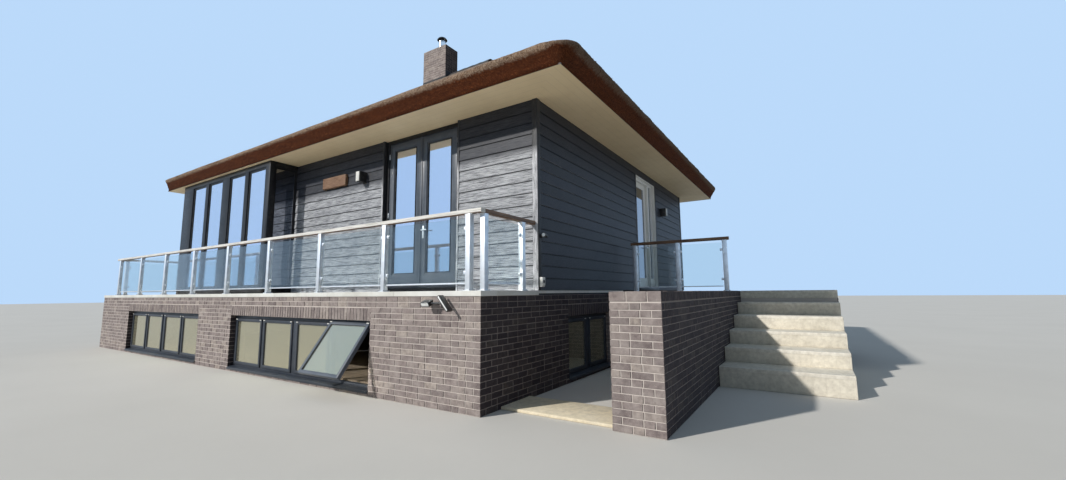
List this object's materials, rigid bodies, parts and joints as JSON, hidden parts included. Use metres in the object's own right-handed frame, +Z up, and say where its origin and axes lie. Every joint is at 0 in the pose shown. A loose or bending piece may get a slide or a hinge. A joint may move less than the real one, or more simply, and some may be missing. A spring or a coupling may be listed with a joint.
{
  "type": "beach house",
  "caption": "Detached beach house with a thatched hip roof, dark timber upper storey, low brick storey, glass railing and garden steps.",
  "frame": {"origin": "on the ground, in the middle of the brick storey's plan", "axes": "+X along the front towards the garden steps, +Y from the front to the back, +Z up"},
  "size_m": [17.32, 11.035, 9.49],
  "materials": {
    "brick": "wire-cut brick, matt",
    "coping_stone": "painted, matt",
    "concrete": "cast, matt",
    "paving": "matt",
    "black_timber": "stained boards, matt",
    "dark_joinery": "satin",
    "white_joinery": "satin",
    "glass": "clear",
    "soffit_board": "painted, matt",
    "reed": "cut reed, matt",
    "ridge_ceramic": "matt",
    "steel": "satin",
    "hardwood": "weathered, oiled",
    "lamp_housing": "satin"
  },
  "bodies": {
    "house": {"lower_floor": "concrete", "plinth_wall_front": "brick", "plinth_wall_right": "brick", "plinth_wall_back": "brick", "plinth_wall_left": "brick", "upper_floor": "concrete", "terrace_deck": "paving", "coping": "coping_stone", "lower_window_frames": "dark_joinery", "lower_glazing": "glass", "open_sash": "dark_joinery", "upper_wall_front_mid": "black_timber", "upper_wall_front_right": "black_timber", "upper_wall_right_front": "black_timber", "upper_wall_right_back": "black_timber", "upper_wall_over_door": "black_timber", "upper_wall_back": "black_timber", "upper_wall_left": "black_timber", "corner_boards": "black_timber", "bay_frame": "dark_joinery", "french_door_frame": "dark_joinery", "french_door_leaves": "dark_joinery", "back_window_frames": "dark_joinery", "upper_glazing": "glass", "side_door_frame": "white_joinery", "side_door_sill": "dark_joinery", "side_door_hinges": "steel", "soffit": "soffit_board", "ceiling": "coping_stone", "thatch_roof": "reed", "ridge_tiles": "ridge_ceramic", "chimney": "brick", "chimney_flue": "steel", "railing_posts": "steel", "rail_fittings": "steel", "railing_glass": "glass", "handrails": "hardwood", "garden_wall": "brick", "garden_steps": "concrete", "landing_slab": "concrete", "landing_walls": "brick", "threshold_slab": "concrete", "outdoor_lamps": "lamp_housing", "name_board": "hardwood"},
    "side_door": {"side_door_leaf": "white_joinery", "side_door_glass": "glass", "side_door_handle": "steel"}
  },
  "joints": [
    {"name": "side_door_hinge", "type": "hinge", "parent": "house", "child": "side_door", "pos_m": [6.628, 0.859, 0], "axis": [0, 0, 1], "range_deg": [0, 90]}
  ]
}
